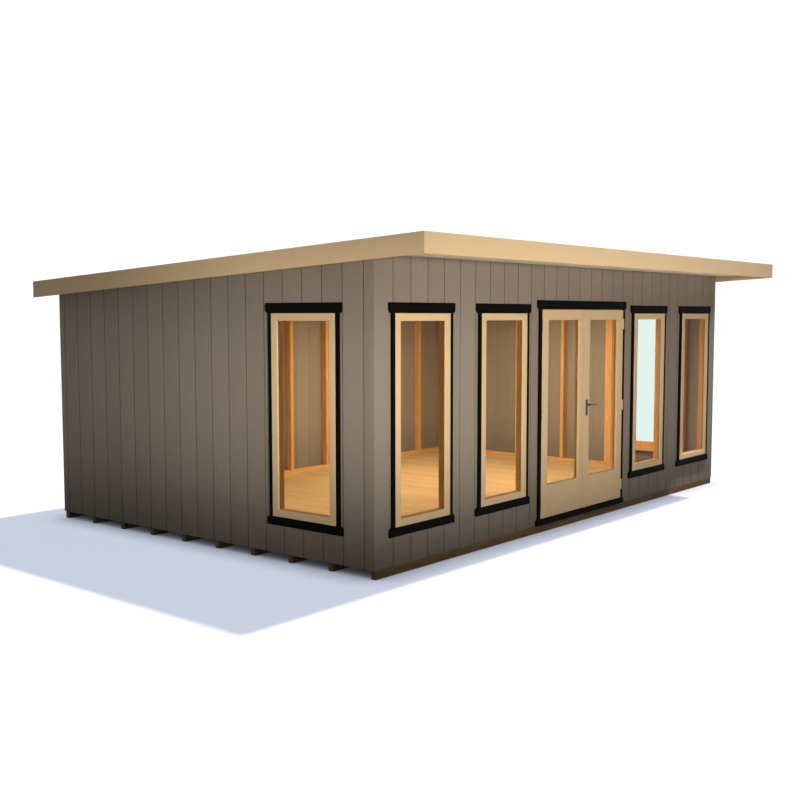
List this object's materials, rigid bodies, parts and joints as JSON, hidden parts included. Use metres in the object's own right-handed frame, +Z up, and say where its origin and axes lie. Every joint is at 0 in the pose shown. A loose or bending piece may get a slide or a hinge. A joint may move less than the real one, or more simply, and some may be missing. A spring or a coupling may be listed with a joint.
{
  "type": "garden room",
  "caption": "Timber garden room with vertical board cladding, a low roof that overhangs the front, tall windows and a pair of glazed doors that open outward.",
  "frame": {"origin": "on the ground under the middle of the roof's plan", "axes": "+X along the front to the right, -Y out of the front, +Z up"},
  "size_m": [6.308, 4.672, 2.5],
  "materials": {
    "bearer_timber": "treated sawn",
    "floor_boards": "planed",
    "cladding": "satin paint",
    "pine": "planed",
    "cream_paint": "satin paint",
    "black_trim": "satin paint",
    "deck_board": "sawn",
    "soffit_paint": "satin paint",
    "glass": "clear",
    "dark_steel": "satin",
    "roof_felt": "mineral"
  },
  "bodies": {
    "room": {"floor_bearers": "bearer_timber", "floor_deck": "floor_boards", "front_wall_left": "cladding", "front_wall_right": "cladding", "front_wall_over_door": "cladding", "back_wall": "cladding", "left_wall": "cladding", "right_wall": "cladding", "bottom_plates": "pine", "top_plates": "pine", "front_wall_studs": "pine", "back_wall_studs": "pine", "end_wall_studs": "pine", "trimmers": "pine", "window_frames": "cream_paint", "window_linings": "pine", "window_panes": "glass", "side_trims": "black_trim", "head_trims": "black_trim", "sill_trims": "black_trim", "door_jambs": "cream_paint", "door_head_jamb": "cream_paint", "door_threshold": "pine", "door_frame_hinges": "dark_steel", "rafters": "pine", "roof_deck": "deck_board", "roof_covering": "roof_felt", "soffits": "soffit_paint", "front_fascia": "cream_paint", "back_fascia": "cream_paint", "left_barge_board": "cream_paint", "right_barge_board": "cream_paint"},
    "left_door": {"left_door_leaf": "cream_paint", "left_door_pane": "glass", "left_door_bead": "pine", "left_door_hinges": "dark_steel"},
    "right_door": {"right_door_leaf": "cream_paint", "right_door_pane": "glass", "right_door_bead": "pine", "right_door_hinges": "dark_steel", "door_handle_plates": "dark_steel"},
    "door_lever": {"door_lever": "dark_steel"}
  },
  "joints": [
    {"name": "left_door_hinge", "type": "hinge", "parent": "room", "child": "left_door", "pos_m": [-0.7415, -1.7705, 1.0555], "axis": [0, 0, -1], "range_deg": [0, 105]},
    {"name": "right_door_hinge", "type": "hinge", "parent": "room", "child": "right_door", "pos_m": [0.7415, -1.7705, 1.0555], "axis": [0, 0, 1], "range_deg": [0, 105]},
    {"name": "lever_turn", "type": "hinge", "parent": "right_door", "child": "door_lever", "pos_m": [0.046, -1.7415, 1.1], "axis": [0, 1, 0], "range_deg": [0, 40], "stiffness_Nm_per_rad": 1, "springref_deg": -28.65}
  ]
}
